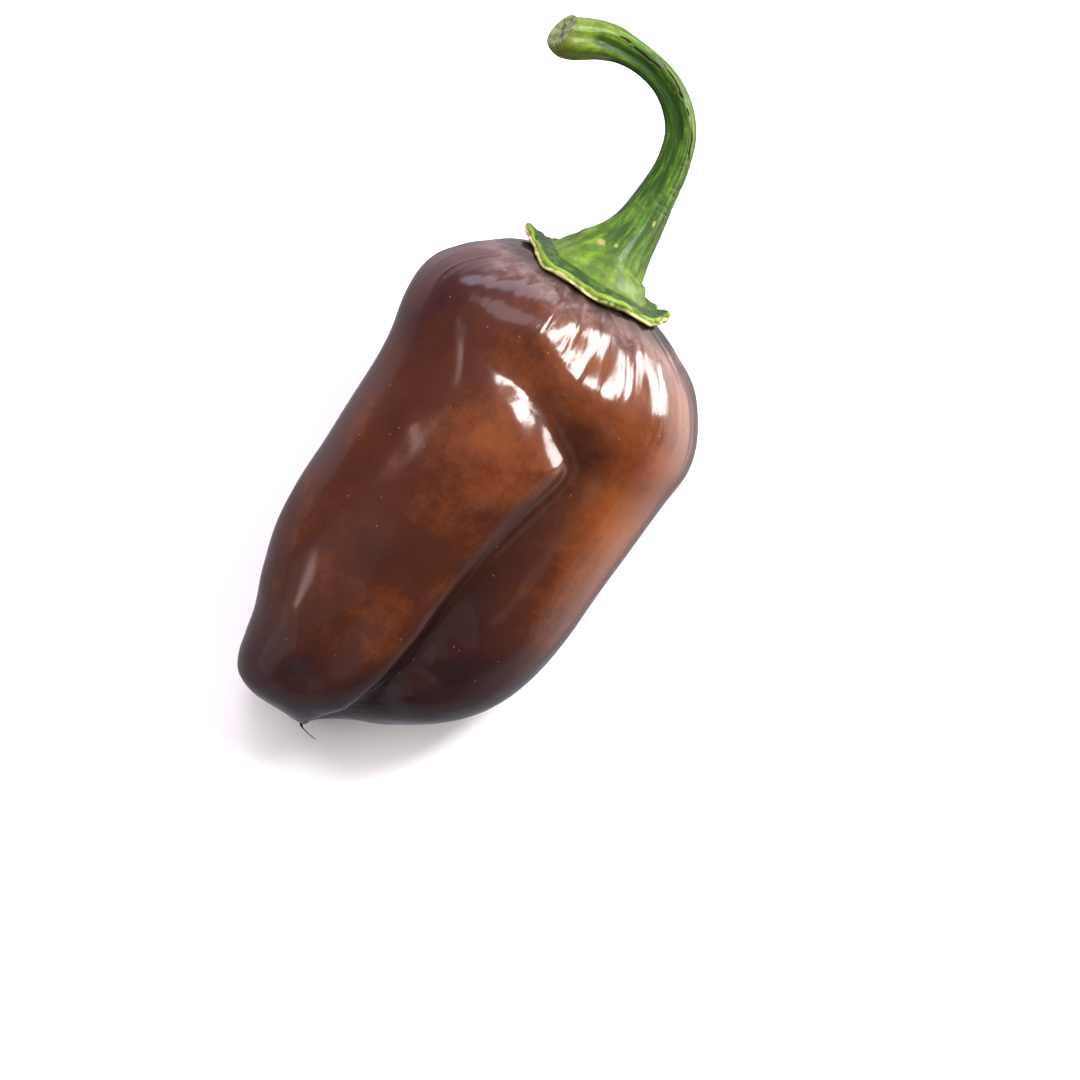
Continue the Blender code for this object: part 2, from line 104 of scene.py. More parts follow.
# The body of the pepper, in its own frame in mm: y up its axis with 0 at the top of the
# fruit, x across it and z out of its upper side
fruit = {
    "length": 113.6,
    "width": 70.0,
    "fullness": 2.35,  # above 2, a section is fuller than an ellipse
    "rows": 250,
    "columns": 384,
    "patternRadius": 34.0,  # the skin's patterns are laid on a tube of this radius
    # share of the length, then the reach to the left, right, upper side and underside
    "sections": np.array((
        (0.000, 0.03, -0.03, 0.00, 0.00),
        (0.013, 0.47, 0.44, 0.43, 0.48),
        (0.038, 0.64, 0.65, 0.57, 0.63),
        (0.074, 0.78, 0.84, 0.69, 0.77),
        (0.122, 0.89, 0.98, 0.79, 0.88),
        (0.202, 0.93, 1.08, 0.87, 0.93),
        (0.291, 0.89, 1.07, 0.90, 0.89),
        (0.388, 0.87, 1.06, 0.91, 0.80),
        (0.504, 0.86, 1.04, 0.90, 0.70),
        (0.610, 0.86, 1.02, 0.87, 0.61),
        (0.699, 0.83, 0.97, 0.82, 0.55),
        (0.778, 0.75, 0.87, 0.75, 0.50),
        (0.849, 0.66, 0.69, 0.66, 0.46),
        (0.902, 0.63, 0.46, 0.54, 0.39),
        (0.947, 0.60, 0.21, 0.41, 0.30),
        (0.978, 0.53, 0.07, 0.29, 0.20),
        (0.994, 0.40, 0.01, 0.16, 0.10),
        (1.000, 0.19, -0.19, 0.00, 0.00),
    )),
    # share of the length, angle, depth, width of the far slope and of the near one
    "grooves": (
        np.array((
            (0.204, 108, 1.0, 4.0, 5.0),
            (0.213, 97, 2.8, 4.6, 6.0),
            (0.227, 85, 4.3, 5.0, 7.0),
            (0.256, 73, 5.3, 5.2, 8.5),
            (0.281, 64, 5.6, 5.3, 10.0),
            (0.319, 61, 5.6, 5.6, 10.5),
            (0.396, 64, 5.4, 6.0, 11.0),
            (0.500, 67, 5.6, 6.5, 11.0),
            (0.610, 68, 6.6, 6.0, 11.0),
            (0.690, 67, 7.6, 5.0, 11.0),
            (0.770, 66, 7.8, 4.5, 11.0),
            (0.850, 61, 7.5, 4.0, 10.0),
            (0.910, 46, 6.0, 3.5, 8.0),
            (0.955, 28, 4.0, 3.0, 5.0),
            (0.985, 8, 1.2, 2.5, 3.0),
        )),
        np.array((
            (0.060, 199, 1.0, 6.0, 6.0),
            (0.170, 197, 3.0, 7.0, 7.0),
            (0.290, 196, 5.0, 7.0, 9.0),
            (0.400, 195, 5.8, 7.0, 9.0),
            (0.520, 195, 5.6, 7.0, 9.0),
            (0.660, 198, 5.0, 7.0, 8.0),
            (0.790, 207, 5.0, 6.0, 6.0),
            (0.890, 220, 4.0, 5.0, 5.0),
            (0.955, 248, 3.0, 4.0, 4.0),
            (0.987, 300, 1.2, 3.0, 3.0),
        )),
        np.array((
            (0.060, 290, 1.5, 7.0, 7.0),
            (0.170, 286, 4.5, 8.0, 8.0),
            (0.290, 282, 6.8, 8.0, 9.0),
            (0.430, 280, 7.6, 8.0, 9.0),
            (0.570, 281, 7.0, 8.0, 8.0),
            (0.700, 285, 6.0, 7.0, 7.0),
            (0.800, 291, 5.5, 6.0, 6.0),
            (0.890, 303, 4.5, 5.0, 5.0),
            (0.955, 330, 3.0, 4.0, 4.0),
            (0.987, 350, 1.2, 3.0, 3.0),
        )),
    ),
    "grooveSteps": 240,  # points on each bottom line
    "grooveSoftness": 1.3,
    "grooveFall": 1.2,
    "groovePower": 1.5,
    "grooveEnd": 2.2,
    "deepestShare": 0.8,
    # share of the length, angle, radius, and height: below 0 it is a hollow
    "swellings": (
        (0.036, 134, 4.5, -1.8),
        (0.140, 118, 7.0, 1.4),
        (0.160, 60, 11.0, 1.3),
        (0.103, 66, 6.5, -1.4),
        (0.103, 77, 5.6, -1.4),
        (0.174, 102, 4.0, -1.1),
        (0.158, 117, 4.5, -0.9),
        (0.140, 150, 9.0, 1.0),
        (0.260, 128, 9.0, -1.0),
        (0.560, 150, 14.0, 0.8),
        (0.650, 90, 6.0, -1.0),
        (0.740, 98, 5.0, -1.6),
        (0.830, 100, 5.0, -1.8),
        (0.900, 102, 4.0, -1.2),
        (0.830, 140, 9.0, 0.6),
        (0.690, 50, 4.0, 0.8),
        (0.760, 52, 4.0, -0.8),
        (0.810, 50, 4.0, 0.8),
        (0.180, 246, 10.0, 1.0),
        (0.240, 298, 11.0, 2.3),
        (0.340, 214, 9.0, 1.6),
        (0.480, 213, 10.0, 4.0),
        (0.640, 218, 9.0, 2.0),
        (0.400, 250, 8.0, -0.8),
        (0.330, 330, 12.0, 0.9),
        (0.520, 318, 8.0, -1.0),
        (0.700, 335, 9.0, 0.8),
    ),
    # relief of the skin: cell across, cell along, height, seed
    "relief": ((14.0, 22.0, 0.34, 3), (7.0, 12.0, 0.22, 5), (3.0, 6.0, 0.045, 8)),
    # small swellings of the finished skin: share, angle, radius, height
    "knobs": (
        (0.620, 58, 3.0, 0.60),
        (0.665, 57, 2.4, -0.50),
        (0.715, 58, 3.0, 0.65),
        (0.765, 56, 2.4, -0.55),
        (0.812, 54, 3.0, 0.55),
        (0.860, 50, 2.4, -0.40),
        (0.794, 124, 3.0, 0.40),
        (0.380, 126, 3.0, 0.30),
        (0.239, 94, 2.8, 0.40),
        (0.266, 82, 3.0, 0.40),
        (0.092, 112, 4.5, -0.55),
    ),
    "creaseDepths": (1.0, 7.0),  # from which depth a groove is shaded, and where fully
    # shares at which the wrinkled collar under the calyx starts to fade and ends, the wrinkles'
    # height, and how many cells fit on their fan: its radius, and along the whole length
    "collarFade": (0.033, 0.11),
    "wrinkleHeight": 0.24,
    "wrinkleFan": (9.0, 30.0),
    "collarPatches": (0.6, 0.6, 0.4),
    "pocketFade": (0.022, 0.0484),  # painted shadow: the skin is darkened under the calyx's edge up to here
    # shares between which ripples rise and fade on the shoulder, and how many there are elsewhere
    "rippleRise": (0.02, 0.05),
    "rippleFade": (0.13, 0.24),
    "rippleElsewhere": 0.02,
    "scarPlace": (0.996, 20.0),
    "scarEdge": (2.38, 4.42),  # distance from its middle where it fades
    "scarRise": 0.1,
    "scarGrain": (0.12, 0.9),  # height and cell
}


# Row, from 0 to 1, of a share of the length: arccos(1 - 2 share) / π
def rowOf(share):
    return np.arccos(1 - 2 * np.asarray(share)) / math.pi


# Superellipse sections with a reach of their own on each side; rows crowd towards both ends
def plainSkin(row, angle):
    row, angle = np.broadcast_arrays(row, angle)
    table = fruit["sections"]
    reach = smoothCurve(rowOf(table[:, 0]), table[:, 1:], row) * fruit["width"] / 2
    left, right, upper, under = np.moveaxis(reach, -1, 0)
    share = (1 - np.cos(math.pi * row)) / 2
    middle = np.stack(((right - left) / 2, -fruit["length"] * share, (upper - under) / 2), -1)
    across = np.cos(angle)
    up = np.sin(angle)
    power = fruit["fullness"]
    out = (np.abs(across) ** power + np.abs(up) ** power) ** (-1 / power)
    spoke = np.stack(((left + right) / 2 * out * across, 0 * out, (upper + under) / 2 * out * up), -1)
    return middle + spoke, middle


# Depth of a groove from the distance d to its bottom line: depth / (1 + 1.2 (d/width)^1.5)
def grooveDepth(points, angle, groove):
    steps = np.linspace(0, len(groove) - 1, fruit["grooveSteps"])
    share, turn, depth, farWidth, nearWidth = smoothCurve(np.arange(len(groove)), groove, steps).T
    turn = np.radians(turn)
    bottom, _ = plainSkin(rowOf(share), turn)
    flat = points.reshape(-1, 3)
    apart = (flat**2).sum(1)[:, None] - 2 * flat @ bottom.T + (bottom**2).sum(1)
    nearest = apart.argmin(axis=1).reshape(points.shape[:-1])
    apart = np.sqrt(np.maximum(apart.min(axis=1), 0)).reshape(points.shape[:-1])
    width = np.where(np.sin(angle - turn[nearest]) > 0, farWidth[nearest], nearWidth[nearest])
    soft = fruit["grooveSoftness"]
    rounded = np.sqrt(apart**2 + soft**2) - soft
    slope = 1 / (1 + fruit["grooveFall"] * (rounded / width) ** fruit["groovePower"])
    return depth[nearest] * slope * np.exp(-((apart / (fruit["grooveEnd"] * width)) ** 2))


# The skin with its lobes: plain sections less the grooves, plus Gaussian swellings
def lobedSkin(row, angle):
    row, angle = np.broadcast_arrays(row, angle)
    points, middle = plainSkin(row, angle)
    outward = points - middle
    radius = np.linalg.norm(outward, axis=-1) + 1e-9
    depth = sum(grooveDepth(points, angle, groove) for groove in fruit["grooves"])
    inGroove = depth.copy()
    for share, turn, size, height in fruit["swellings"]:
        centre, _ = plainSkin(rowOf(share), math.radians(turn))
        apart = np.linalg.norm(points - centre, axis=-1)
        depth = depth - height * np.exp(-(apart**2) / (2 * size**2))
    depth = np.minimum(depth, fruit["deepestShare"] * radius)
    return points - outward * (depth / radius)[..., None], inGroove


# Angles of the columns round the axis, a full turn shared out evenly, from its right side on
def evenAngles(count):
    return np.arange(count) * 2 * math.pi / count


# The two coordinates across a tube and the one along it, all as whole grids
def tubePoint(angle, radius, along):
    return np.cos(angle) * radius + 0 * along, np.sin(angle) * radius + 0 * along, along


# The finished skin: lobes, soft relief, wrinkles that fan out from the calyx, and the scar
def finishedSkin():
    row = np.linspace(1, 0, fruit["rows"] + 1)[1:-1, None]
    angle = evenAngles(fruit["columns"])
    skin, inGroove = lobedSkin(row, angle)
    share = np.broadcast_to((1 - np.cos(math.pi * row)) / 2, inGroove.shape)
    height = np.zeros_like(share)
    for across, along, amount, seed in fruit["relief"]:
        height += amount * softNoise(skin / (across, along, across), 1.0, seed)
    for knobShare, knobTurn, size, amount in fruit["knobs"]:
        centre, _ = lobedSkin(rowOf(knobShare), np.array(math.radians(knobTurn)))
        height += amount * np.exp(-(np.linalg.norm(skin - centre, axis=-1) ** 2) / (2 * size**2))
    collar = 1 - ramp(share, *fruit["collarFade"])
    fanRadius, fanLength = fruit["wrinkleFan"]
    fan = np.stack(tubePoint(angle, fanRadius, share * fanLength), -1)
    height += fruit["wrinkleHeight"] * collar * softNoise(fan, 1.0, 21)
    patches = softNoise(fan * fruit["collarPatches"], 1.0, 23)
    shoulder = ramp(share, *fruit["rippleRise"]) * (1 - ramp(share, *fruit["rippleFade"]))
    elsewhere = fruit["rippleElsewhere"]
    scarShare, scarTurn = fruit["scarPlace"]
    scarCentre, _ = lobedSkin(rowOf(scarShare), np.array(math.radians(scarTurn)))
    scar = 1 - ramp(np.linalg.norm(skin - scarCentre, axis=-1), *fruit["scarEdge"])
    grainHeight, grainCell = fruit["scarGrain"]
    height += scar * (grainHeight * softNoise(skin, grainCell, 31) + fruit["scarRise"])
    marks = {
        # groove: where the grooves get painted shade
        "groove": ramp(inGroove, *fruit["creaseDepths"]),
        "collar": collar * ramp(patches + 1.5 * collar, 0.2, 1.2),
        # painted shadow under the calyx's edge
        "calyxShadow": 1 - ramp(share, *fruit["pocketFade"]),
        "shoulder": elsewhere + (1 - elsewhere) * shoulder,
        "scar": scar,
    }
    x, z, y = tubePoint(angle, fruit["patternRadius"], skin[..., 1])
    return pushedOut(skin, height), marks, np.stack((x, y, z), -1)


# The green stalk with its calyx, as rings that start in the middle of the plate's underside
stalk = {
    "columns": 224,
    "baseRows": 44,
    "gap": 0.4,
    "calyxRadius": 16.4,
    "calyxThickness": 1.7,
    "toothPoint": 1.4,
    "shoulderShare": 0.122,
    # angle, half width, reach, curl, extra thickness
    "teeth": (
        (183, 18, 2.5, 2.6, -0.3),
        (119, 17, 2.8, -0.1, 0.2),
        (84, 24, 1.8, -0.2, 0.0),
        (40, 13, 1.8, 0.1, 0.2),
        (4, 13, 0.4, 1.4, 0.9),
        (322, 13, 1.2, 0.9, 0.2),
        (278, 15, 1.6, 0.5, 0.0),
        (232, 14, 1.9, 1.0, 0.0),
    ),
    # distance out, share of the thickness, share of the curl, and how much further out it is
    # on the upper side; the last three rings are the stalk's foot
    "plate": (
        (0.30, 0.0, 0.00, 0.00),
        (0.55, 0.0, 0.00, 0.00),
        (0.78, 0.0, 0.15, 0.00),
        (0.92, 0.0, 0.60, 0.00),
        (0.99, 0.1, 1.00, 0.00),
        (1.00, 0.5, 1.00, 0.00),
        (0.98, 0.9, 1.00, 0.00),
        (0.93, 1.0, 0.80, 0.02),
        (0.80, 1.0, 0.25, 0.10),
        (0.70, 1.0, 0.05, 0.20),
        (0.65, 1.2, 0.00, 0.23),
        (0.60, 1.8, 0.00, 0.20),
        (0.56, 2.5, 0.00, 0.13),
    ),
    "footRing": 9,
    # along, across, up, diameter
    "line": np.array((
        (5.6, -0.3, 0.2, 17.0),
        (8.9, 0.3, -0.1, 13.6),
        (13.0, 0.8, -0.6, 11.0),
        (20.6, 0.7, -1.5, 8.5),
        (28.6, 0.1, -1.8, 7.1),
        (36.0, -2.7, -1.3, 6.5),
        (41.3, -8.6, -0.2, 6.2),
        (43.6, -17.2, 1.8, 6.3),
        (42.6, -25.8, 4.4, 8.0),
        (39.8, -31.1, 6.2, 8.8),
    )),
    "startPlace": 3.6,  # places along the stalk are counted from under its foot
    "ribs": 5,
    "ribHeight": 0.07,
    "ribTurn": 30.0,
    "cutOffset": np.array((-3.0, 0.1, 0.9)),
    "cutDirection": np.array((-0.87, 0.21, 0.44)),
    "cutRadius": 4.2,
    "cutBlend": (0.35, 0.6, 0.85),
    "cutShoulder": 0.7,
    "cutRings": ((0.93, 0.0), (0.74, 0.1), (0.66, 0.4), (0.30, 0.5)),
    # furrows along it, each with a depth and a width in mm and points (place, angle)
    "furrows": (
        (0.55, 1.1, ((33, 90), (39, 96), (43, 101), (46, 106), (51, 101), (57, 98), (63, 94))),
        (0.45, 1.2, ((12, 150), (24, 160), (36, 165), (48, 168), (58, 170))),
        (0.40, 1.0, ((8, 210), (22, 218), (34, 225), (50, 230), (61, 232))),
        (0.45, 1.2, ((10, 290), (24, 285), (38, 282), (52, 280), (62, 276))),
        (0.35, 0.9, ((6, 335), (18, 332), (30, 330), (44, 334), (56, 340))),
    ),
    # corky cracks on the outer side of the bend, with points (place, angle)
    "cracks": (
        (0.5, 0.24, ((30, 29), (33.5, 34), (36.6, 43), (40, 53), (43.5, 53), (47.5, 45), (51, 36))),
        (0.25, 0.25, ((44, 74), (49, 70), (54, 66), (58, 60))),
        (0.25, 0.25, ((24, 312), (30, 316), (37, 318))),
    ),
    # how a crack wanders sideways (by how much, cells in a mm, seed), and where it is broken
    "crackWander": ((0.22, 0.55, 48), (0.10, 1.7, 50)),
    "crackBreaks": (-0.5, -0.15),
    "crackLip": 2.6,  # its corky lip is this many times as wide as the crack
    "patternRadius": 4.0,  # the stalk's patterns are laid on a tube of this radius
    # lengthwise relief of the stalk: height, cells in a mm, seed; and how much it is drawn out
    "stalkRelief": ((0.11, 0.9, 41), (0.06, 2.2, 42)),
    "reliefStretch": (1.0, 0.14, 1.0),
    # relief of the plate, and of its ragged rim: height, cell, seed
    "plateRelief": ((0.40, 3.2, 43), (0.22, 1.5, 44)),
    "rimRelief": (0.8, 1.7, 51),
    "rimRings": (5.4, 1.3),
    # pale lumps on the plate beside the foot: where, how far they reach, and how high they are
    "lumps": (np.array((4.4, 1.7, 10.0)), 2.2, 0.7),
    # small tan scars: place, angle, size
    "tanScars": ((4.4, 116, 0.9), (6.0, 95, 0.5), (14.1, 55, 0.8)),
    "tanScarTurn": 9.0,  # degrees round the foot for each mm of size
    "slitDirection": np.array((0.30, -0.60, 0.74)),
    "slitWidth": 0.9,
    "slitLength": 2.6,
    # cross wrinkles: places where they start and end, the side they are on, and their step
    "wrinkleRise": (13.0, 18.0),
    "wrinkleFade": (28.0, 35.0),
    "wrinkleSide": 0.45,
    "wrinkleStep": 1.5,
    "wrinkleDepth": 0.13,
    # coloured rings: the ring they are on, counted from the plate's middle, and how far they reach
    "rimRing": (4.9, 0.6),
    "lipRing": (6.1, 0.8),
    "oliveRing": (0.6, 1.1),  # counted from the cut's first ring
    # rows between neighbouring rings, on the plate, the stalk and the cut
    "plateSteps": 8,
    "stalkSteps": 5,
    "cutSteps": 8,
}


# Points of the skin at these distances from the axis, each found between the rows on either side
def skinAt(distance, angle):
    rows = np.linspace(0, rowOf(stalk["shoulderShare"]), 60)
    skin, _ = lobedSkin(rows[:, None], angle)
    reach = np.hypot(skin[..., 0], skin[..., 2])
    found = np.array([np.interp(d, r, rows) for d, r in zip(distance, reach.T)])
    return lobedSkin(found, angle)[0]


# The plate's rings lie on the skin; at off degrees from its middle a tooth adds its values times
# exp(-(off / width)^toothPoint)
def calyxRings(angle):
    reach = np.full_like(angle, stalk["calyxRadius"])
    curl = np.zeros_like(angle)
    extra = np.zeros_like(angle)
    for turn, width, longer, lift, thicker in stalk["teeth"]:
        off = np.degrees(np.arccos(np.cos(angle - math.radians(turn))))
        tooth = np.exp(-((off / width) ** stalk["toothPoint"]))
        reach += longer * tooth
        curl += lift * tooth
        extra += thicker * tooth
    rings = []
    for out, thick, curled, lean in stalk["plate"]:
        ring = skinAt(reach * out * (1 + lean * np.sin(angle)), angle)
        ring[:, 1] += stalk["gap"] + (stalk["calyxThickness"] + extra * curled) * thick + curl * curled
        rings.append(ring)
    return rings


# Rings round the stalk's line, of radius (1 + ribHeight cos(ribs × angle)) × diameter / 2; then
# rings that run to the cut's edge on quadratic curves, and those of the cut itself
def stalkRings(angle):
    table = stalk["line"]
    chords = np.linalg.norm(np.diff(table[:, :3], axis=0), axis=1)
    places = np.concatenate(((0,), np.cumsum(chords)))
    at = np.linspace(0, places[-1], stalk["baseRows"])
    along, across, up, diameter = smoothCurve(places, table, at).T
    line = np.stack((across, along, up), -1)
    ahead = np.gradient(line, at, axis=0)
    ahead /= np.linalg.norm(ahead, axis=1)[:, None]
    side = np.cross(ahead, (0, 0, 1))
    side /= np.linalg.norm(side, axis=1)[:, None]
    over = np.cross(side, ahead)
    ribs = 1 + stalk["ribHeight"] * np.cos(stalk["ribs"] * angle + at[:, None] / stalk["ribTurn"])
    turned = np.cos(angle)[:, None] * side[:, None] + np.sin(angle)[:, None] * over[:, None]
    rings = list(line[:, None] + turned * (ribs * diameter[:, None] / 2)[..., None])
    facing = stalk["cutDirection"] / np.linalg.norm(stalk["cutDirection"])
    middle = line[-1] + stalk["cutOffset"]
    spokes = turned[-1] - (turned[-1] @ facing)[:, None] * facing
    spokes *= stalk["cutRadius"] / np.linalg.norm(spokes, axis=1)[:, None]
    last = rings[-1]
    edge = middle + spokes
    straight = np.maximum((edge - last) @ ahead[-1], 0)[:, None] * ahead[-1] * stalk["cutShoulder"]
    for part in stalk["cutBlend"]:
        rings.append(last + 2 * part * (1 - part) * straight + (edge - last) * part**2)
    rings += [middle + spokes * share - facing * depth for share, depth in stalk["cutRings"]]
    return rings, at, places, middle - facing * stalk["cutRings"][-1][1]


# How near each point is to a line drawn on the stalk, as 0 to 1: exp(-(d / width)²)
def nearLine(place, angle, radius, width, points):
    places, turns = np.array(points, float).T
    turn = np.interp(place, places, turns)
    apart = radius * np.abs((np.degrees(angle) - turn + 180) % 360 - 180) * math.pi / 180
    ends = ramp(place, places[0] - 3, places[0] + 1) * (1 - ramp(place, places[-1] - 1, places[-1] + 2))
    return ends * np.exp(-((apart / width) ** 2))


# Height of a round hump of the given reach: exp(-((value - middle) / reach)²)
def hump(value, middle, reach):
    return np.exp(-(((value - middle) / reach) ** 2))


# The coarse rings are joined by a smooth curve from ring to ring, then furrowed and wrinkled
def finishedStalk():
    angle = evenAngles(stalk["columns"])
    plate = calyxRings(angle)
    stem, at, places, end = stalkRings(angle)
    rings = np.array(plate + stem)
    plateCount = len(plate)
    cutStart = plateCount + stalk["baseRows"]
    cutCount = len(rings) - cutStart
    steps = [stalk["plateSteps"]] * plateCount
    steps += [stalk["stalkSteps"]] * (stalk["baseRows"] - 1)
    steps += [stalk["cutSteps"]] * cutCount
    index = np.concatenate([k + np.arange(n) / n for k, n in enumerate(steps)] + [[len(rings) - 1.0]])
    grid = smoothCurve(np.arange(len(rings)), rings, index)

    # where each point is: its place along the stalk in mm, and the ring it is on
    footRing = stalk["footRing"]
    at, places = at + stalk["startPlace"], places + stalk["startPlace"]
    onFoot = np.linspace(0, at[0], plateCount - footRing, endpoint=False)
    ringPlace = np.concatenate((np.zeros(footRing), onFoot, at, np.full(cutCount, at[-1])))
    place = np.interp(index, np.arange(len(rings)), ringPlace)[:, None] + 0 * angle
    level = index[:, None] + 0 * angle
    onPlate = ramp(level, 4.5, 7.5) * (1 - ramp(level, footRing, footRing + 1.5))
    onStem = ramp(level, footRing + 1, plateCount) * (1 - ramp(level, cutStart, cutStart + 2))
    fromCut = ramp(level, cutStart + 1.6, cutStart + 2.4)
    radius = np.interp(place, places, stalk["line"][:, 3]) / 2
    x, z, y = tubePoint(angle, stalk["patternRadius"], place)
    straight = np.stack((x, y, z), -1)

    height = 0
    for amount, cells, seed in stalk["stalkRelief"]:
        height += amount * softNoise(straight * stalk["reliefStretch"] * cells, 1.0, seed) * onStem
    furrow = sum(
        depth * nearLine(place, angle, radius, width, line) for depth, width, line in stalk["furrows"]
    )
    # cracks with a raised lip on either side
    broken = ramp(softNoise(straight * (0.8, 0.9, 0.8), 1.0, 47), *stalk["crackBreaks"])
    wander = 0
    for amount, cells, seed in stalk["crackWander"]:
        wander = wander + amount * softNoise(straight * (0, cells, 0), 1.0, seed) / radius
    crack = 0
    for depth, width, line in stalk["cracks"]:
        near = nearLine(place, angle + wander, radius, width, line)
        lip = nearLine(place, angle + wander, radius, stalk["crackLip"] * width, line)
        height += (0.3 * depth * lip - 1.3 * depth * near) * broken
        crack = crack + near * broken + 0.35 * lip * broken
    height -= furrow * onStem
    # cross wrinkles where the stalk bends
    oneSide = np.clip(np.cos(angle - stalk["wrinkleSide"]), 0, 1) ** 2
    wrinkled = ramp(place, *stalk["wrinkleRise"]) * (1 - ramp(place, *stalk["wrinkleFade"])) * oneSide
    waves = np.sin(place * 2 * math.pi / stalk["wrinkleStep"] + 3 * softNoise(straight, 2.2, 45))
    wrinkles = wrinkled * ramp(waves, 0.2, 1.0) * ramp(softNoise(straight, 1.4, 46), -0.4, 0.3)
    height -= stalk["wrinkleDepth"] * wrinkles
    # the plate's bumps, ragged rim and pale lumps
    for amount, cell, seed in stalk["plateRelief"]:
        height += amount * softNoise(grid, cell, seed) * onPlate
    amount, cell, seed = stalk["rimRelief"]
    height += amount * softNoise(grid, cell, seed) * hump(level, *stalk["rimRings"])
    lumpPlace, lumpReach, lumpHeight = stalk["lumps"]
    lumps = hump(np.linalg.norm(grid - lumpPlace, axis=-1), 0, lumpReach) * onPlate
    height += lumpHeight * lumps * np.clip(softNoise(grid, 0.9, 49) + 0.2, 0, 1)
    # a dark slit across the pith, and small tan scars on the foot
    slitAlong = stalk["slitDirection"] / np.linalg.norm(stalk["slitDirection"])
    fromEnd = grid - end
    acrossSlit = np.linalg.norm(np.cross(fromEnd, slitAlong), axis=-1)
    alongSlit = np.linalg.norm(fromEnd, axis=-1) / stalk["slitLength"]
    slit = fromCut * hump(acrossSlit, 0, stalk["slitWidth"]) * np.exp(-(alongSlit**4))
    tan = 0
    for scarPlace, scarTurn, size in stalk["tanScars"]:
        off = (np.degrees(angle) - scarTurn + 180) % 360 - 180
        tan = tan + hump(place, scarPlace, size) * hump(off, 0, stalk["tanScarTurn"] * size)
    marks = {
        "place": place,
        # hollow: where painted shade goes into the furrows and wrinkles
        "hollow": np.clip(furrow / 0.5, 0, 1) * onStem + 0.8 * wrinkles,
        "crack": np.clip(crack, 0, 1) * onStem,
        "brownEdge": 1 - ramp(level, 3.9, 4.6),
        "rim": hump(level, *stalk["rimRing"]),
        "lip": hump(level, *stalk["lipRing"]),
        "plate": onPlate,
        "lumps": lumps,
        # olive: a ring beside the cut's rim, partly painted shade
        "olive": hump(level - cutStart, *stalk["oliveRing"]),
        "cut": fromCut,
        "cutHeart": slit,
        "tan": tan * onStem,
    }
    start, _ = plainSkin(np.array(0.0), np.array(0.0))
    return start + (0, stalk["gap"], 0), pushedOut(grid, height), end, marks, straight


# The dry thread that is left of the flower's style
thread = {
    "length": 4.6,
    "diameter": 0.95,
    "taper": 0.15,
    "rows": 60,
    "columns": 24,
    "place": (0.995, 12.0),
    "line": np.array((
        (0.00, -0.10, 0.00),
        (0.16, -0.24, 0.05),
        (0.38, -0.30, 0.06),
        (0.68, -0.35, 0.05),
        (0.98, -0.40, 0.03),
    )),
    "knots": (0.86, 0.12),  # mean and swing of its thickness
    "twist": 14.0,
    "dark": "#120e0b",
    "pale": "#33271d",
    "grainSize": 0.4,
    "roughness": 0.85,
}


# A tube round a curve, thinning along it, with knots and a twist
def finishedThread():
    share, turn = thread["place"]
    root, _ = lobedSkin(rowOf(share), np.array(math.radians(turn)))
    part = np.linspace(0, 1, thread["rows"])
    places = np.linspace(0, 1, len(thread["line"]))
    line = root + thread["length"] * smoothCurve(places, thread["line"], part)
    angle = evenAngles(thread["columns"])
    radius = thread["diameter"] / 2 * (1 - thread["taper"] * part)[:, None]
    mean, swing = thread["knots"]
    radius = radius * (mean + swing * np.sin(3 * angle + thread["twist"] * part[:, None]))
    ring = np.stack((np.cos(angle), np.zeros_like(angle), -np.sin(angle)), -1)
    return line[0], line[:, None] + ring * radius[..., None], line[-1]


# From the pepper's own frame in mm to the frame of the part in metres
climb = Matrix.Rotation(math.radians(lying["pitch"]), 3, "X")
lean = Matrix.Rotation(math.radians(lying["roll"]), 3, "Y")
turn = np.array(climb @ lean)
skinGrid, skinMarks, skinStraight = finishedSkin()
skinStart, _ = plainSkin(np.array(1.0), np.array(0.0))
skinEnd, _ = plainSkin(np.array(0.0), np.array(0.0))
turnedSkin = skinGrid @ turn.T
cadLow, cadHigh = (np.array(corner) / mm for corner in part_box("fruit"))
origin = (turnedSkin.min(axis=(0, 1)) + turnedSkin.max(axis=(0, 1)) - cadLow - cadHigh) / 2
origin[2] = turnedSkin[..., 2].min() + lying["flatDepth"]


# Turned as it lies, moved onto the table and flattened there: z = max(z, 0)
def laid(points):
    placed = np.asarray(points) @ turn.T - origin
    placed[..., 2] = np.maximum(placed[..., 2], 0)
    return placed * mm


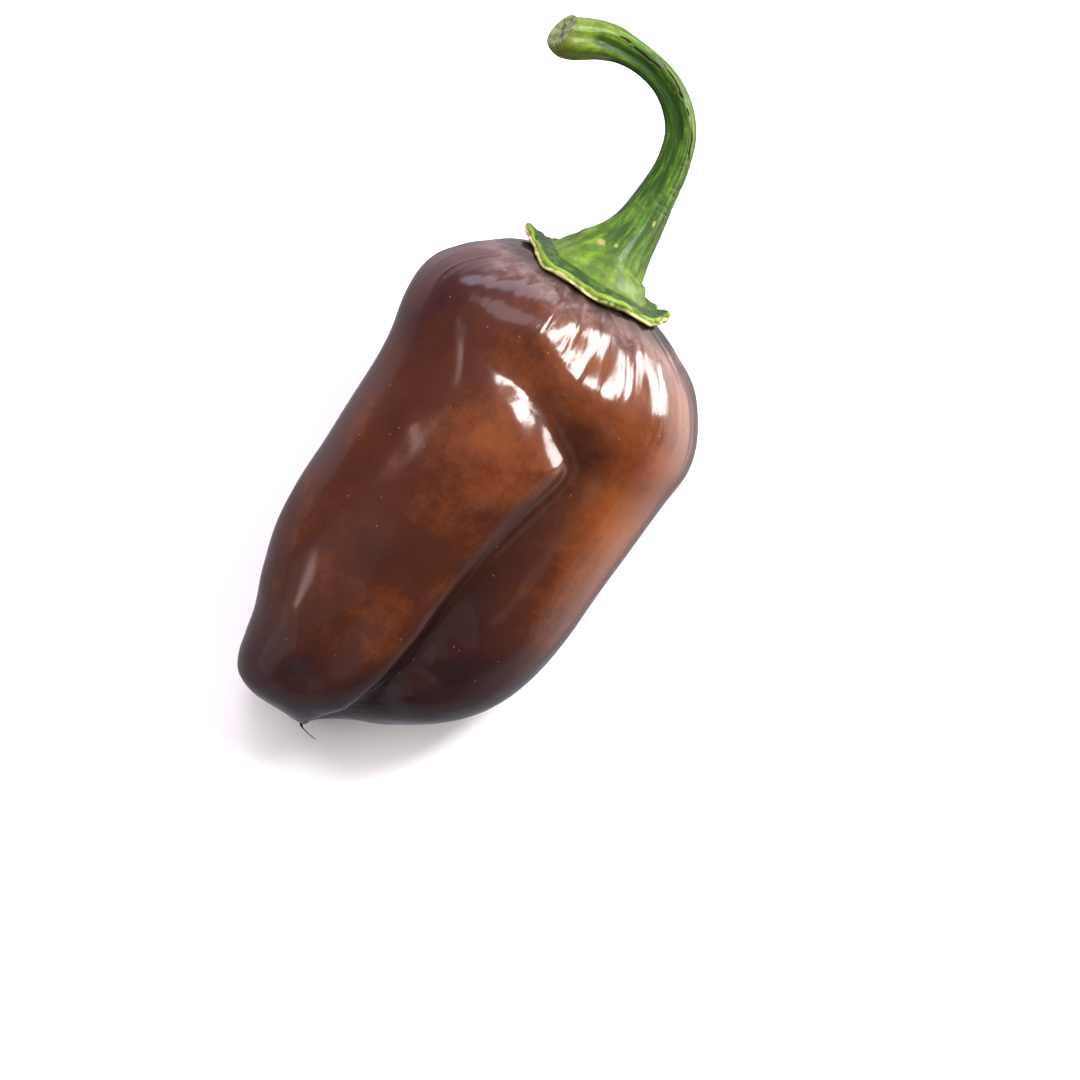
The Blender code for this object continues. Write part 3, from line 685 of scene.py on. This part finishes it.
# A closed mesh from rings of points, fanned shut at a point on either end
def closedPiece(name, start, rings, end, material, marks, straight):
    rows, columns = rings.shape[:2]
    here = np.arange(columns)
    after = np.roll(here, -1)
    first = 1 + columns * np.arange(rows - 1)[:, None]
    quads = np.stack((first + here, first + columns + here, first + columns + after, first + after), -1)
    last = 1 + columns * (rows - 1)
    startFan = np.stack((0 * here, 1 + here, 1 + after), -1)
    endFan = np.stack((last + after, last + here, 0 * here + last + columns), -1)
    corners = np.concatenate((quads.ravel(), startFan.ravel(), endFan.ravel()))
    sizes = np.concatenate((np.full(quads.size // 4, 4), np.full(2 * columns, 3)))
    points = laid(np.concatenate((start[None], rings.reshape(-1, 3), end[None])))
    mesh = bpy.data.meshes.new(name)
    mesh.vertices.add(len(points))
    mesh.vertices.foreach_set("co", points.astype(np.float32).ravel())
    mesh.loops.add(len(corners))
    mesh.loops.foreach_set("vertex_index", corners.astype(np.int32))
    mesh.polygons.add(len(sizes))
    mesh.polygons.foreach_set("loop_start", (np.cumsum(sizes) - sizes).astype(np.int32))
    mesh.update(calc_edges=True)
    mesh.validate()
    mesh.shade_smooth()
    # each end point takes the mean of the ring beside it
    for mark, values in marks.items():
        values = np.concatenate((values[:1].mean()[None], values.ravel(), values[-1:].mean()[None]))
        field = mesh.attributes.new(mark, "FLOAT", "POINT")
        field.data.foreach_set("value", values.astype(np.float32))
    if straight is not None:
        atStart, atEnd = straight[:1].mean(1), straight[-1:].mean(1)
        values = np.concatenate((atStart, straight.reshape(-1, 3), atEnd))
        field = mesh.attributes.new("straight", "FLOAT_VECTOR", "POINT")
        field.data.foreach_set("vector", values.astype(np.float32).ravel())
    mesh.materials.append(material)
    piece = bpy.data.objects.new(name, mesh)
    bpy.context.scene.collection.objects.link(piece)
    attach(piece, "root")
    print("piece:", name, len(points), "points")
    return piece


# sRGB hex to linear, with alpha
def linear(colour):
    parts = [int(colour[k:k + 2], 16) / 255 for k in (1, 3, 5)]
    return tuple(c / 12.92 if c <= 0.04045 else ((c + 0.055) / 1.055) ** 2.4 for c in parts) + (1,)


# Adds a node with its fields, its sockets' values and its links
def addNode(tree, kind, values=None, links=None, **fields):
    node = tree.nodes.new(kind)
    for field, value in fields.items():
        setattr(node, field, value)
    for socket, value in (values or {}).items():
        node.inputs[socket].default_value = value
    for socket, source in (links or {}).items():
        tree.links.new(source, node.inputs[socket])
    return node


# A material with its node tree and its shader
def newMaterial(name):
    material = bpy.data.materials.new(name)
    material.use_nodes = True
    tree = material.node_tree
    return material, tree, tree.nodes["Principled BSDF"]


# Skin of a ripe chocolate-brown sweet pepper: dark brown flesh under a smooth waxy cuticle, so that it is
# deep in colour with white highlights on top. Its colour runs from plum to russet. The russet patches are
# partly painted light and the darker ones partly painted shade, and the grooves and the skin under the
# calyx's edge carry painted shade
skinLook = {
    "plum": "#26131a",
    "chocolate": "#421e0f",
    "russet": "#7a3f1a",
    # painted shade: a dark brown laid into the grooves
    "creaseShade": "#22100a",
    # painted shadow right under the calyx's edge
    "calyxShadow": "#1b0f0d",
    "collar": "#4a3332",
    "collarPale": "#76625c",
    "speck": "#b98a55",
    "cork": "#8a7a68",
    "roughness": (0.36, 0.50),  # in the dark clouds and in the pale ones
    "gloss": {
        "Specular IOR Level": 0.08, "Coat Weight": 1.0, "Coat Roughness": 0.15, "Coat IOR": 1.45,
    },
    # sizes in mm: clouds of colour, mottling, ripples across and along, and the distance of specks
    "cloudSize": 9.0,
    "mottleSize": 1.1,
    "rippleSize": 3.8,
    "rippleStretch": 0.22,
    "rippleHeight": 0.34,
    "dullSize": 2.6,
    "speckStep": 3.8,
    # how strongly clouds and mottling shake the tone, and each layer covers the one below it
    "cloudAmount": 0.14,
    "mottleAmount": 0.05,
    "creaseCover": 0.75,
    "collarCover": 0.75,
    "corkCover": 0.8,
    "speckCover": 0.3,
    "corkRougher": 0.4,
    "mottleHeight": 0.04,
}


def pepperSkin():
    material, tree, shader = newMaterial("waxySweetPepperSkin")
    where = addNode(tree, "ShaderNodeAttribute", attribute_name="straight").outputs["Vector"]
    tone, groove, collar, calyxShadow, scar, shoulder = (
        addNode(tree, "ShaderNodeAttribute", attribute_name=name).outputs["Fac"]
        for name in ("tone", "groove", "collar", "calyxShadow", "scar", "shoulder")
    )
    cloud, mottle = (
        addNode(
            tree, "ShaderNodeTexNoise",
            {"Scale": 1 / skinLook[size], "Detail": 3.0, "Roughness": roughness}, {"Vector": where},
        ).outputs["Fac"]
        for size, roughness in (("cloudSize", 0.55), ("mottleSize", 0.6))
    )
    # the flesh's colour: tone, shaken by clouds and by fine mottling
    shaken = tone
    for pattern, amount in ((cloud, skinLook["cloudAmount"]), (mottle, skinLook["mottleAmount"])):
        part = addNode(
            tree, "ShaderNodeMapRange",
            {"From Min": 0.3, "From Max": 0.7, "To Min": -amount, "To Max": amount}, {"Value": pattern},
        ).outputs["Result"]
        shaken = addNode(tree, "ShaderNodeMath", None, {0: part, 1: shaken}, operation="ADD").outputs[0]
    lowPart = addNode(tree, "ShaderNodeMapRange", {"From Max": 0.5}, {"Value": shaken}).outputs["Result"]
    highPart = addNode(tree, "ShaderNodeMapRange", {"From Min": 0.5}, {"Value": shaken}).outputs["Result"]
    flesh = addNode(
        tree, "ShaderNodeMix", {6: linear(skinLook["plum"]), 7: linear(skinLook["chocolate"])},
        {"Factor": lowPart}, data_type="RGBA",
    ).outputs[2]
    # the painted shade in the creases, the collar and the cork each cover what is below them only in part
    creasePart, collarPart, corkPart = (
        addNode(
            tree, "ShaderNodeMath", {1: skinLook[cover]}, {0: mark}, operation="MULTIPLY"
        ).outputs[0]
        for cover, mark in (("creaseCover", groove), ("collarCover", collar), ("corkCover", scar))
    )
    # russet where the tone is high, then painted shade in the grooves
    for part, tint in ((highPart, "russet"), (creasePart, "creaseShade")):
        flesh = addNode(
            tree, "ShaderNodeMix", {7: linear(skinLook[tint])}, {"Factor": part, 6: flesh},
            data_type="RGBA",
        ).outputs[2]
    # ripples that run down from the calyx
    stretched = addNode(
        tree, "ShaderNodeMapping", {"Scale": (1.0, skinLook["rippleStretch"], 1.0)}, {"Vector": where}
    ).outputs["Vector"]
    ripple = addNode(
        tree, "ShaderNodeTexNoise",
        {"Scale": 1 / skinLook["rippleSize"], "Detail": 1.5, "Roughness": 0.4, "Distortion": 0.6},
        {"Vector": stretched},
    ).outputs["Fac"]
    # dull grey-brown skin round the calyx, paler in patches and streaks, and painted shadow right under it
    spot = addNode(tree, "ShaderNodeTexCoord").outputs["Object"]
    patchy = addNode(
        tree, "ShaderNodeTexNoise",
        {"Scale": 1 / (skinLook["dullSize"] * mm), "Detail": 5.0, "Roughness": 0.62, "Distortion": 0.5},
        {"Vector": spot},
    ).outputs["Fac"]
    paleness = addNode(
        tree, "ShaderNodeMapRange", {"From Min": 0.42, "From Max": 0.68}, {"Value": patchy}
    ).outputs["Result"]
    dull = addNode(
        tree, "ShaderNodeMix", {6: linear(skinLook["collar"]), 7: linear(skinLook["collarPale"])},
        {"Factor": paleness}, data_type="RGBA",
    ).outputs[2]
    colour = addNode(
        tree, "ShaderNodeMix", None, {"Factor": collarPart, 6: flesh, 7: dull}, data_type="RGBA"
    ).outputs[2]
    # sparse pale specks, about 0.3 mm across
    speck = addNode(
        tree, "ShaderNodeTexVoronoi", {"Scale": 1 / skinLook["speckStep"]}, {"Vector": where}
    ).outputs["Distance"]
    speckPart = addNode(
        tree, "ShaderNodeMapRange",
        {"From Min": 0.03, "From Max": 0.06, "To Min": skinLook["speckCover"], "To Max": 0.0},
        {"Value": speck},
    ).outputs["Result"]
    # painted shadow under the calyx's edge, then pale specks and cork
    for part, tint in ((calyxShadow, "calyxShadow"), (speckPart, "speck"), (corkPart, "cork")):
        colour = addNode(
            tree, "ShaderNodeMix", {7: linear(skinLook[tint])}, {"Factor": part, 6: colour},
            data_type="RGBA",
        ).outputs[2]
    tree.links.new(colour, shader.inputs["Base Color"])
    low, high = skinLook["roughness"]
    rough = addNode(
        tree, "ShaderNodeMapRange",
        {"From Min": 0.3, "From Max": 0.7, "To Min": low, "To Max": high}, {"Value": cloud},
    ).outputs["Result"]
    rough = addNode(
        tree, "ShaderNodeMath", {1: skinLook["corkRougher"]}, {0: scar, 2: rough}, operation="MULTIPLY_ADD"
    ).outputs[0]
    tree.links.new(rough, shader.inputs["Roughness"])
    for socket, value in skinLook["gloss"].items():
        shader.inputs[socket].default_value = value
    # the ripples break up the gloss on the shoulders, and the mottling shows in it everywhere
    rippled = addNode(
        tree, "ShaderNodeMath", None, {0: ripple, 1: shoulder}, operation="MULTIPLY"
    ).outputs[0]
    bump = addNode(
        tree, "ShaderNodeBump", {"Strength": 1.0, "Distance": skinLook["rippleHeight"] * mm},
        {"Height": rippled},
    ).outputs["Normal"]
    bump = addNode(
        tree, "ShaderNodeBump", {"Strength": 0.3, "Distance": skinLook["mottleHeight"] * mm},
        {"Height": mottle, "Normal": bump},
    ).outputs["Normal"]
    tree.links.new(bump, shader.inputs["Normal"])
    tree.links.new(bump, shader.inputs["Coat Normal"])
    return material


stalkStart, stalkGrid, stalkEnd, stalkMarks, stalkStraight = finishedStalk()

# Green stalk and calyx: living plant tissue with a thin wax, satin, streaked along its
# length, yellower at the foot and the cut, with brown cork where it cracked
stalkLook = {
    "roughness": (0.42, 0.62),  # in the dark grain and in the pale one
    "gloss": {"Specular IOR Level": 0.22, "Coat Weight": 0.12, "Coat Roughness": 0.16},
    # sizes in mm: streaks, blotches and grain
    "streakSize": 0.9,
    "streakStretch": 0.10,
    "blotchSize": 2.2,
    "grainSize": 0.7,
    "grainHeight": 0.10,
    # colours laid over each other: which mark, from and to, how strongly, and the colour
    "layers": (
        ("streaks", 0.42, 0.66, 0.74, "#5f871a"),
        ("place", 9.0, 0.0, 0.35, "#7b9222"),
        ("place", 52.0, 66.0, 0.50, "#7d9023"),
        ("blotch", 0.58, 0.36, 0.50, "#1f3d0b"),
        ("grain", 0.56, 0.40, 0.25, "#1a360a"),
        # painted shade in the furrows and wrinkles
        ("hollow", 0.1, 0.9, 0.85, "#173008"),
        # partly the calyx's own dark green, partly painted shade in the valley round the stalk's foot
        ("plate", 0.2, 0.9, 0.86, "#0f2908"),
        ("plateBlotch", 0.45, 0.72, 0.50, "#41701a"),
        ("lip", 0.45, 1.0, 0.60, "#7f9a28"),
        ("lumps", 0.3, 0.8, 0.70, "#b5cb8c"),
        ("rimBlotch", 0.25, 0.55, 0.85, "#c4b084"),
        ("brownEdge", 0.1, 0.9, 1.00, "#5d4226"),
        ("tan", 0.3, 0.8, 0.60, "#a8975a"),
        ("crack", 0.12, 0.45, 0.35, "#7c6a35"),
        ("crack", 0.30, 0.6, 0.95, "#18200a"),
        # partly the stalk's own olive by the cut, partly painted shade on its side beside the cut's rim
        ("olive", 0.2, 1.0, 0.60, "#5d5a1c"),
        ("cut", 0.1, 0.9, 1.00, "#4d5a30"),
        ("cutStreaks", 0.40, 0.62, 0.8, "#8b9566"),
        ("cutHeart", 0.3, 0.7, 0.9, "#2c3514"),
    ),
    "leaf": "#234108",
}


def greenStalk():
    material, tree, shader = newMaterial("waxyGreenStalk")
    where = addNode(tree, "ShaderNodeAttribute", attribute_name="straight").outputs["Vector"]
    spot = addNode(tree, "ShaderNodeTexCoord").outputs["Object"]
    marks = {
        name: addNode(tree, "ShaderNodeAttribute", attribute_name=name).outputs["Fac"] for name in stalkMarks
    }
    stretched = addNode(
        tree, "ShaderNodeMapping", {"Scale": (1.0, stalkLook["streakStretch"], 1.0)}, {"Vector": where}
    ).outputs["Vector"]
    marks["streaks"] = addNode(
        tree, "ShaderNodeTexNoise",
        {"Scale": 1 / stalkLook["streakSize"], "Detail": 4.0, "Roughness": 0.65}, {"Vector": stretched},
    ).outputs["Fac"]
    for name, size, roughness in (("blotch", "blotchSize", 0.6), ("grain", "grainSize", 0.7)):
        marks[name] = addNode(
            tree, "ShaderNodeTexNoise",
            {"Scale": 1 / (stalkLook[size] * mm), "Detail": 3.0, "Roughness": roughness},
            {"Vector": spot},
        ).outputs["Fac"]
    for name, whole, pattern in (
        ("plateBlotch", "plate", "blotch"), ("rimBlotch", "rim", "blotch"), ("cutStreaks", "cut", "streaks"),
    ):
        marks[name] = addNode(
            tree, "ShaderNodeMath", None, {0: marks[whole], 1: marks[pattern]}, operation="MULTIPLY"
        ).outputs[0]
    colour = None
    for name, low, high, amount, tint in stalkLook["layers"]:
        part = addNode(
            tree, "ShaderNodeMapRange", {"From Min": low, "From Max": high, "To Max": amount},
            {"Value": marks[name]}, interpolation_type="SMOOTHSTEP",
        ).outputs["Result"]
        links = {"Factor": part} if colour is None else {"Factor": part, 6: colour}
        colour = addNode(
            tree, "ShaderNodeMix", {6: linear(stalkLook["leaf"]), 7: linear(tint)}, links, data_type="RGBA"
        ).outputs[2]
    tree.links.new(colour, shader.inputs["Base Color"])
    low, high = stalkLook["roughness"]
    rough = addNode(
        tree, "ShaderNodeMapRange",
        {"From Min": 0.3, "From Max": 0.7, "To Min": low, "To Max": high}, {"Value": marks["grain"]},
    ).outputs["Result"]
    tree.links.new(rough, shader.inputs["Roughness"])
    for socket, value in stalkLook["gloss"].items():
        shader.inputs[socket].default_value = value
    bump = addNode(
        tree, "ShaderNodeBump", {"Strength": 0.5, "Distance": stalkLook["grainHeight"] * mm},
        {"Height": marks["grain"]},
    ).outputs["Normal"]
    tree.links.new(bump, shader.inputs["Normal"])
    return material


# Dried style of the flower: brittle, matt, almost black
def dryThread():
    material, tree, shader = newMaterial("driedFlowerStyle")
    spot = addNode(tree, "ShaderNodeTexCoord").outputs["Object"]
    grain = addNode(
        tree, "ShaderNodeTexNoise", {"Scale": 1 / (thread["grainSize"] * mm), "Detail": 2.0},
        {"Vector": spot},
    ).outputs["Fac"]
    colour = addNode(
        tree, "ShaderNodeMix", {6: linear(thread["dark"]), 7: linear(thread["pale"])},
        {"Factor": grain}, data_type="RGBA",
    ).outputs[2]
    tree.links.new(colour, shader.inputs["Base Color"])
    shader.inputs["Roughness"].default_value = thread["roughness"]
    return material


# How brown the skin is, from 0 plum to 1 russet: the mean, lowered in the grooves as painted shade, and soft
# patches (share of the length, angle, size, amount), each amount × exp(-d² / (2 size²)). The patches are
# partly the skin's own colour and partly painted light and shade: lighter on the right lobe and just below
# the lip as painted light, and darker on the lower right of the right lobe and on the flank right of the
# upper crease as painted shade
toneMean = 0.50
paintedGrooveShade = 0.1
toneAndPaintedLightPatches = (
    (0.96, 110, 14.0, -0.26),
    (0.10, 135, 18.0, -0.30),
    (0.36, 34, 14.0, 0.42),
    (0.82, 45, 16.0, -0.45),
    (0.92, 62, 9.0, -0.30),
    (0.12, 85, 12.0, 0.30),
    (0.35, 90, 9.0, 0.18),
    (0.78, 86, 7.0, 0.12),
    (0.55, 120, 12.0, -0.12),
    (0.42, 60, 7.0, -0.30),
    (0.60, 80, 4.2, 0.16),
    (0.68, 84, 3.8, 0.18),
    (0.75, 87, 3.8, 0.20),
    (0.82, 88, 3.8, 0.22),
    (0.88, 85, 3.8, 0.22),
    (0.93, 80, 3.4, 0.18),
    (0.74, 116, 8.0, 0.14),
)


def skinToneAndPaintedLight():
    tone = toneMean - paintedGrooveShade * skinMarks["groove"]
    for share, angle, size, amount in toneAndPaintedLightPatches:
        centre, _ = plainSkin(rowOf(share), math.radians(angle))
        apart = np.linalg.norm(skinGrid - centre, axis=-1)
        tone += amount * np.exp(-(apart**2) / (2 * size**2))
    return np.clip(tone, 0, 1)


# the tone attribute carries the painted light and shade of these patches and of the grooves
skinMarks["tone"] = skinToneAndPaintedLight()
skin = closedPiece("pepper_skin", skinStart, skinGrid, skinEnd, pepperSkin(), skinMarks, skinStraight)
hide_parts("fruit")

stem = closedPiece(
    "stalk_with_calyx", stalkStart, stalkGrid, stalkEnd, greenStalk(), stalkMarks, stalkStraight
)
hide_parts("stalk_and_calyx")

threadStart, threadGrid, threadEnd = finishedThread()
style = closedPiece("dry_style_thread", threadStart, threadGrid, threadEnd, dryThread(), {}, None)
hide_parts("style_thread")

# Camera: the photograph looks down on the pepper, with its axis turned in the picture. The
# picture is 1080 pixels wide, and the middle of the calyx is at calyxPixel in it
photo = {
    "size": 1080,
    "calyxPixel": (600, 275),
    "calyxHeight": 1.2,  # of the calyx's middle above the top of the fruit
    "pixelsPerMm": 4.77,
    "axisTurn": 33.13,
    "pitch": 8.0,
    "lens": 135.0,
    "sensor": 36.0,
}


def photoCamera():
    spin = math.radians(photo["axisTurn"])
    level = np.array(Matrix.Rotation(math.radians(photo["pitch"]), 3, "X"))
    right = turn @ level.T @ (math.cos(spin), math.sin(spin), 0)
    up = turn @ level.T @ (-math.sin(spin), math.cos(spin), 0)
    back = turn @ level.T @ (0, 0, 1)
    # a picture as wide as the sensor's view at this distance has size / pixelsPerMm mm across
    distance = photo["lens"] / photo["sensor"] * photo["size"] / photo["pixelsPerMm"] * mm
    offRight = (photo["calyxPixel"][0] - photo["size"] / 2) / photo["pixelsPerMm"] * mm
    offUp = (photo["size"] / 2 - photo["calyxPixel"][1]) / photo["pixelsPerMm"] * mm
    calyx = laid(np.array((0, photo["calyxHeight"], 0)))
    place = calyx - right * offRight - up * offUp + back * distance
    data = bpy.data.cameras.new("camera")
    data.lens = photo["lens"]
    data.sensor_width = photo["sensor"]
    camera = bpy.data.objects.new("camera", data)
    axes = Matrix(np.array((right, up, back)).T.tolist())
    camera.matrix_world = Matrix.Translation(place.tolist()) @ axes.to_4x4()
    bpy.context.scene.collection.objects.link(camera)
    bpy.context.scene.camera = camera
    return right, up, back


imageRight, imageUp, imageBack = photoCamera()

# Floor: plain white card, a square of twice halfWidth in metres
card = {"colour": "#f2f2f2", "roughness": 0.7, "halfWidth": 2.0}


def whiteFloor():
    material, tree, shader = newMaterial("whiteCard")
    shader.inputs["Base Color"].default_value = linear(card["colour"])
    shader.inputs["Roughness"].default_value = card["roughness"]
    half = card["halfWidth"]
    corners = [(-half, -half, 0), (half, -half, 0), (half, half, 0), (-half, half, 0)]
    mesh = bpy.data.meshes.new("floor")
    mesh.from_pydata(corners, [], [(0, 1, 2, 3)])
    mesh.materials.append(material)
    floor = bpy.data.objects.new("floor", mesh)
    floor.visible_glossy = False  # keeps the gloss at the edges dark, as black flags would
    bpy.context.scene.collection.objects.link(floor)


whiteFloor()

# Softboxes: where each stands (right, up and back in the picture, in metres), its width and
# height, watts, colour, and the sizes of the lights nested in it, as shares of its own
softboxes = {
    "window": ((0.68, 0.51, 0.84), 0.26, 0.64, 17.5, "#fffdfc", (1.0,)),
    "sideWindow": ((1.10, 0.38, 0.10), 0.60, 0.50, 20.0, "#fffdfc", (1.0,)),
    "lowRight": ((0.94, -0.70, 0.20), 0.80, 0.50, 2.9, "#ffeadc", (1.0, 0.9, 0.8, 0.7, 0.6, 0.5, 0.4)),
    "nearLow": ((0.20, -0.54, 0.94), 0.40, 0.30, 0.50, "#ffe6de", (1.0, 0.85, 0.7, 0.55, 0.4)),
    "topHaze": ((-0.04, 0.71, 0.88), 0.84, 0.50, 11.0, "#f2dff0", (1.0, 0.85, 0.7, 0.55, 0.4)),
    "topStrip": ((0.06, 1.15, 0.22), 1.40, 0.46, 14.0, "#f6efff", (1.0, 0.8, 0.6)),
    "smallLeft": ((-0.80, 0.28, 0.90), 0.16, 0.14, 0.50, "#ffe0dc", (1.0, 0.6)),
    "smallLow": ((-1.10, -0.22, 0.44), 0.26, 0.20, 1.10, "#ffe2de", (1.0, 0.7, 0.4)),
    "lowLeft": ((-0.88, -0.46, 0.74), 1.24, 0.94, 4.0, "#ffeef0", (1.0, 0.91, 0.82, 0.73, 0.64, 0.55, 0.46)),
    "leftCard": ((-1.10, -0.50, 0.16), 0.96, 0.56, 2.2, "#ffeef2", (1.0, 0.88, 0.76, 0.64, 0.52, 0.4)),
    "overhead": ((-0.30, 0.20, 1.25), 1.20, 1.20, 10.0, "#ffffff", (1.0,)),
}

squareBoxes = ("window", "sideWindow")  # the others are oval
hiddenInGloss = ("overhead",)  # only fills the shadows
aim = np.array((0, 0, 0.03))  # all of them face this point in the pepper


# Each softbox is brighter towards its middle: lights of several sizes share its power
def addSoftbox(name, place, width, height, watts, colour, sizes):
    toward = place[0] * imageRight + place[1] * imageUp + place[2] * imageBack
    for part in sizes:
        light = bpy.data.lights.new(name, "AREA")
        light.shape = "RECTANGLE" if name in squareBoxes else "ELLIPSE"
        light.size = width * part
        light.size_y = height * part
        light.energy = watts * part / sum(sizes)
        light.color = linear(colour)[:3]
        lamp = bpy.data.objects.new(name, light)
        lamp.visible_glossy = name not in hiddenInGloss
        lamp.location = (aim + toward).tolist()
        lamp.rotation_euler = Vector((-toward).tolist()).to_track_quat("-Z", "Y").to_euler()
        bpy.context.scene.collection.objects.link(lamp)


for name, box in softboxes.items():
    addSoftbox(name, *box)

# The room is dim above; below the horizon it stands for the pale table that the gloss mirrors,
# brighter beyond the pepper, and warmest to the right, where the window lights it
room = {
    "above": (0.10, 0.10, 0.105, 1),
    "table": (0.28, 0.29, 0.33, 1),
    "tableBeyond": (1.2, 1.0, 1.1, 1),
    "tableByWindow": (4.2, 3.1, 2.8, 1),
    # where each of them starts and is full, as the height, the upward and the rightward
    # part of the direction in the picture
    "horizon": (0.02, -0.10),
    "beyond": (0.30, 0.90),
    "byWindow": (0.40, 0.80),
    "byWindowUp": (-0.90, 0.10),
}


def roomLight():
    world = bpy.data.worlds.new("studio")
    world.use_nodes = True
    tree = world.node_tree
    direction = addNode(tree, "ShaderNodeTexCoord").outputs["Generated"]
    fades = {}
    for name, axis in (
        ("horizon", (0, 0, 1)),
        ("beyond", imageUp.tolist()),
        ("byWindow", imageRight.tolist()),
        ("byWindowUp", imageUp.tolist()),
    ):
        along = addNode(
            tree, "ShaderNodeVectorMath", {1: axis}, {0: direction}, operation="DOT_PRODUCT"
        ).outputs["Value"]
        low, high = room[name]
        fades[name] = addNode(
            tree, "ShaderNodeMapRange", {"From Min": low, "From Max": high}, {"Value": along}
        ).outputs["Result"]
    fades["byWindow"] = addNode(
        tree, "ShaderNodeMath", None, {0: fades["byWindow"], 1: fades["byWindowUp"]}, operation="MULTIPLY"
    ).outputs[0]
    table = addNode(
        tree, "ShaderNodeMix", {6: room["table"], 7: room["tableBeyond"]}, {"Factor": fades["beyond"]},
        data_type="RGBA",
    ).outputs[2]
    table = addNode(
        tree, "ShaderNodeMix", {7: room["tableByWindow"]}, {"Factor": fades["byWindow"], 6: table},
        data_type="RGBA",
    ).outputs[2]
    shade = addNode(
        tree, "ShaderNodeMix", {6: room["above"]}, {"Factor": fades["horizon"], 7: table}, data_type="RGBA"
    ).outputs[2]
    tree.links.new(shade, tree.nodes["Background"].inputs["Color"])
    bpy.context.scene.world = world
    print("room:", len(softboxes), "softboxes")


roomLight()
bpy.context.scene.view_settings.view_transform = "Standard"
